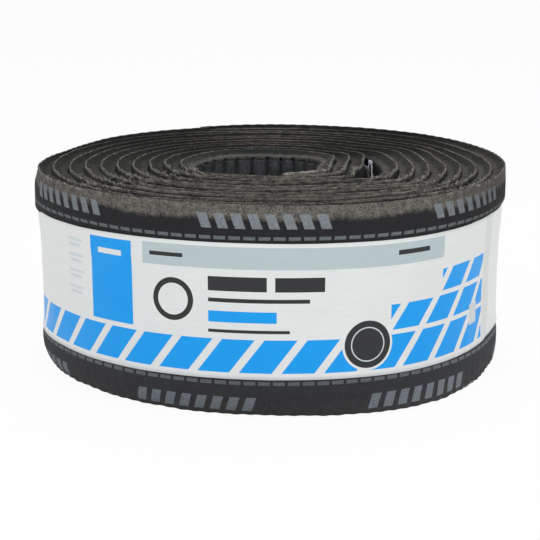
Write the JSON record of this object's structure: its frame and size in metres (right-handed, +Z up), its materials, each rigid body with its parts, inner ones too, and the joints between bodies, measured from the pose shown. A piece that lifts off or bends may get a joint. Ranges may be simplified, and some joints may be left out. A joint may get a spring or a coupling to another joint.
{
  "type": "ridge vent roll",
  "caption": "Wound roll of dark fabric-covered mesh ridge vent standing on its end, with an open bore, a paper label band round it and a bag of nails tucked between its turns.",
  "frame": {"origin": "middle of the bottom end of the standing roll", "axes": "+Z up along the roll's axis, -Y to the front of the label band, +X to the right as the picture shows it"},
  "size_m": [0.6314, 0.6314, 0.2667],
  "materials": {
    "mat_fabric": "fuzzy nonwoven fabric, charcoal, brownish grey along the edges",
    "label_paper": "white coated paper with a slight sheen",
    "bag_film": "clear glossy film"
  },
  "bodies": {
    "root": {"vent_roll": "mat_fabric", "label_band": "label_paper", "nail_bag": "bag_film"}
  },
  "joints": []
}
